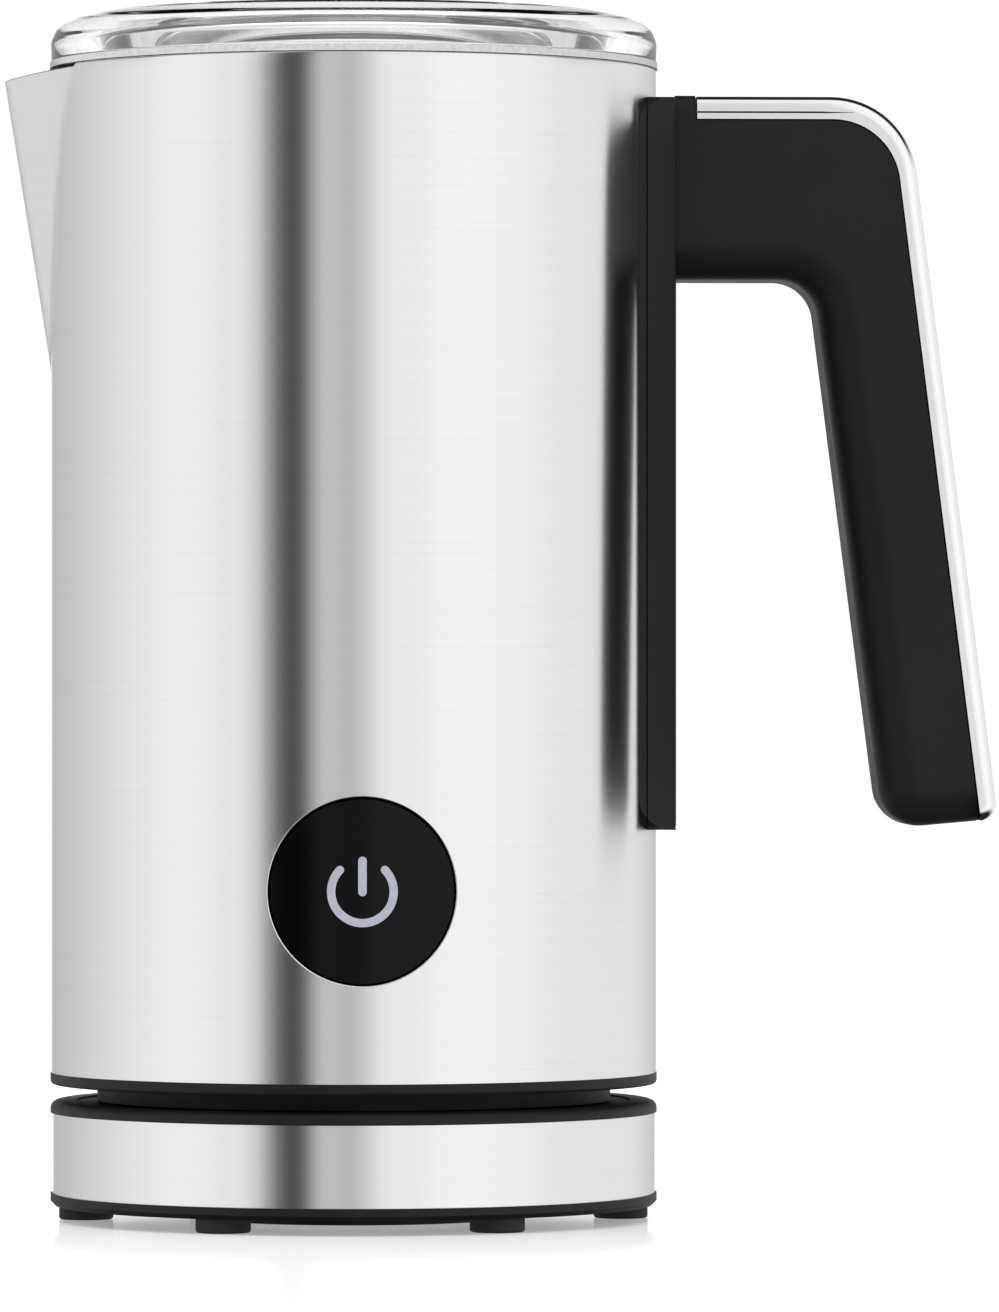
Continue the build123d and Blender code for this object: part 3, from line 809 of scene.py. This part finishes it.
# Brightness that polished parts mirror, by heading in degrees from straight in front
STUDIO = (
    (-180, 1.2), (-174, 1.2), (-168, 0.52), (-157, 0.56), (-131, 0.72), (-120, 0.80), (-85, 1.02),
    (-72, 1.06),
    (-60, 1.04), (-50, 0.98), (-44, 0.96), (-39, 0.78), (-34, 0.40), (-30, 0.15), (-26, 0.05), (-22, 0.07),
    (-18, 0.28), (-15, 0.66), (-10, 0.66), (-3, 0.56), (2, 0.68), (7, 0.94), (12, 1.04), (22, 1.02),
    (32, 1.12), (51, 1.12), (84, 0.98), (130, 0.92), (155, 0.70), (168, 0.52), (174, 1.2), (180, 1.2),
)
GAP_BLACK = (0.02, 0.02, 0.02, 1.0)
PLAIN_STRENGTH = 1.06
FLOOR_RADIUS = 60.0
FLOOR_GAP = 0.02 * MM
OVERHEAD_PLACE = (-0.2, -0.2, 1.6)
OVERHEAD_SIZE = (1.6, 1.2)
OVERHEAD_ENERGY = 14.0
CAMERA_DISTANCE = 1.6
CAMERA_HEIGHT = 94.3 * MM
CAMERA_ASIDE = 25.3 * MM
CAMERA_TURN = math.radians(-2.5)
CAMERA_LENS = 252.9
FRAME_HEIGHT = 1312
FRAME_RISE = 19  # how far the object stands below the middle of the frame


def studio_world():
    """White surroundings, with soft panels and one dark gap for the steel to mirror."""
    world = bpy.data.worlds.new("studio")
    world.use_nodes = True
    world.node_tree.nodes.clear()
    sky = Nodes(world.node_tree)
    towards = sky.node("ShaderNodeTexCoord")
    split = sky.node("ShaderNodeSeparateXYZ")
    sky.link(towards.outputs["Generated"], split.inputs[0])
    across, depth, up = split.outputs
    heading = sky.calc("ARCTAN2", across, sky.calc("MULTIPLY", depth, -1.0))
    panels = sky.node("ShaderNodeValToRGB")
    stops = panels.color_ramp.elements
    while len(stops) > 1:
        stops.remove(stops[-1])
    for index, (degrees, light) in enumerate(STUDIO):
        place = (degrees + 180) / 360
        stop = stops[0] if index == 0 else stops.new(place)
        stop.position = place
        stop.color = (light, light, light, 1.0)
    sky.link(sky.between(heading, 0.0, 1.0, -math.pi, math.pi), panels.inputs["Fac"])
    above = sky.between(up, 0.0, 1.0, 0.2, 0.5, "SMOOTHSTEP")
    behind = sky.between(depth, 0.0, 1.0, -0.15, 0.1, "SMOOTHSTEP")
    below = sky.between(up, 0.0, 1.0, -0.3, -0.7, "SMOOTHSTEP")
    dark = sky.calc("MAXIMUM", sky.calc("MULTIPLY", above, behind), below)
    shaded = sky.node("ShaderNodeMix", data_type="RGBA")
    shaded.inputs["B"].default_value = GAP_BLACK
    sky.link(dark, shaded.inputs["Factor"])
    sky.link(panels.outputs["Color"], shaded.inputs["A"])
    mirrored = sky.node("ShaderNodeBackground")
    sky.link(shaded.outputs["Result"], mirrored.inputs["Color"])
    plain = sky.node("ShaderNodeBackground")
    plain.inputs["Color"].default_value = (1.0, 1.0, 1.0, 1.0)
    plain.inputs["Strength"].default_value = PLAIN_STRENGTH
    path = sky.node("ShaderNodeLightPath")
    glossy, through = path.outputs["Is Glossy Ray"], path.outputs["Is Transmission Ray"]
    choose = sky.node("ShaderNodeMixShader")
    sky.link(sky.calc("SUBTRACT", glossy, through, use_clamp=True), choose.inputs[0])
    sky.link(plain.outputs[0], choose.inputs[1])
    sky.link(mirrored.outputs[0], choose.inputs[2])
    sky.link(choose.outputs[0], sky.node("ShaderNodeOutputWorld").inputs["Surface"])
    bpy.context.scene.world = world


def floor_finish():
    """Pale lacquered floor that mirrors a little."""
    finish = Finish("stage_floor")
    finish.set(Base_Color=(0.82, 0.82, 0.82, 1.0), Roughness=0.5, Specular_IOR_Level=0.0)
    finish.set(Emission_Color=(1.0, 1.0, 1.0, 1.0), Emission_Strength=0.62)
    mirror = finish.node("ShaderNodeBsdfGlossy")
    mirror.inputs["Roughness"].default_value = 0.10
    grazing = finish.node("ShaderNodeFresnel")
    grazing.inputs["IOR"].default_value = 1.4
    mix = finish.node("ShaderNodeMixShader")
    finish.link(finish.calc("MULTIPLY", grazing.outputs["Fac"], 0.7), mix.inputs[0])
    finish.link(finish.shader.outputs[0], mix.inputs[1])
    finish.link(mirror.outputs[0], mix.inputs[2])
    finish.link(mix.outputs[0], finish.tree.nodes["Material Output"].inputs["Surface"])
    return finish.material


class FROTHER_OT_stage(bpy.types.Operator):
    """Set the floor, the light and the camera"""

    bl_idname = "frother.stage"
    bl_label = "Set the Stage"

    def execute(self, context):
        scene = context.scene
        made = bmesh.new()
        bmesh.ops.create_circle(made, cap_ends=True, segments=96, radius=FLOOR_RADIUS)
        mesh = bpy.data.meshes.new("stage_floor")
        made.to_mesh(mesh)
        made.free()
        floor = bpy.data.objects.new("stage_floor", mesh)
        mesh.materials.append(floor_finish())
        floor.location.z = CAD_BOX[0].z - FLOOR_GAP
        floor.visible_glossy = False
        scene.collection.objects.link(floor)
        studio_world()
        key = bpy.data.lights.new("overhead", "AREA")
        key.shape = "RECTANGLE"
        key.size, key.size_y = OVERHEAD_SIZE
        key.energy = OVERHEAD_ENERGY
        light = bpy.data.objects.new("overhead", key)
        light.location = OVERHEAD_PLACE
        light.visible_glossy = False
        scene.collection.objects.link(light)
        self.camera(scene)
        scene.view_settings.view_transform = "Standard"
        return {"FINISHED"}

    def camera(self, scene):
        """Level camera on a long lens, a little round towards the spout."""
        away = Vector((math.sin(CAMERA_TURN), -math.cos(CAMERA_TURN), 0))
        right = Vector((math.cos(CAMERA_TURN), math.sin(CAMERA_TURN), 0))
        data = bpy.data.cameras.new("camera")
        data.lens = CAMERA_LENS
        data.sensor_width = 36.0
        data.shift_y = FRAME_RISE / FRAME_HEIGHT
        data.clip_start, data.clip_end = 0.05, 200.0
        camera = bpy.data.objects.new("camera", data)
        camera.location = away * CAMERA_DISTANCE + right * CAMERA_ASIDE + Vector((0, 0, CAMERA_HEIGHT))
        camera.rotation_mode = "QUATERNION"
        camera.rotation_quaternion = (-away).to_track_quat("-Z", "Y")
        scene.collection.objects.link(camera)
        scene.camera = camera


OPERATORS = (
    FROTHER_OT_finishes,
    FROTHER_OT_shell,
    FROTHER_OT_painted_groove_shades,
    FROTHER_OT_lid,
    FROTHER_OT_whisk,
    FROTHER_OT_stage,
)


class FROTHER_PT_panel(bpy.types.Panel):
    """Sidebar panel with the sizes, colours and build steps"""

    bl_idname = "FROTHER_PT_panel"
    bl_label = "Milk Frother"
    bl_space_type = "VIEW_3D"
    bl_region_type = "UI"
    bl_category = "Frother"

    def draw(self, context):
        layout = self.layout
        for group in (context.scene.frother_sizes, context.scene.frother_colours):
            for name in group.bl_rna.properties.keys():
                if name not in {"rna_type", "name"}:
                    layout.prop(group, name)
        for operator in OPERATORS:
            layout.operator(operator.bl_idname)


CLASSES = (FrotherSizes, FrotherColours, *OPERATORS, FROTHER_PT_panel)


def register():
    for cls in CLASSES:
        bpy.utils.register_class(cls)
    bpy.types.Scene.frother_sizes = PointerProperty(type=FrotherSizes)
    bpy.types.Scene.frother_colours = PointerProperty(type=FrotherColours)


def unregister():
    del bpy.types.Scene.frother_colours
    del bpy.types.Scene.frother_sizes
    for cls in reversed(CLASSES):
        bpy.utils.unregister_class(cls)


def corners(box):
    """Box as plain lists."""
    return [list(corner) for corner in box]


def main():
    register()
    bpy.ops.frother.finishes()
    bpy.ops.frother.shell()
    bpy.ops.frother.inlays()
    bpy.ops.frother.lid()
    bpy.ops.frother.whisk()
    bpy.ops.frother.stage()


if __name__ == "__main__":
    main()
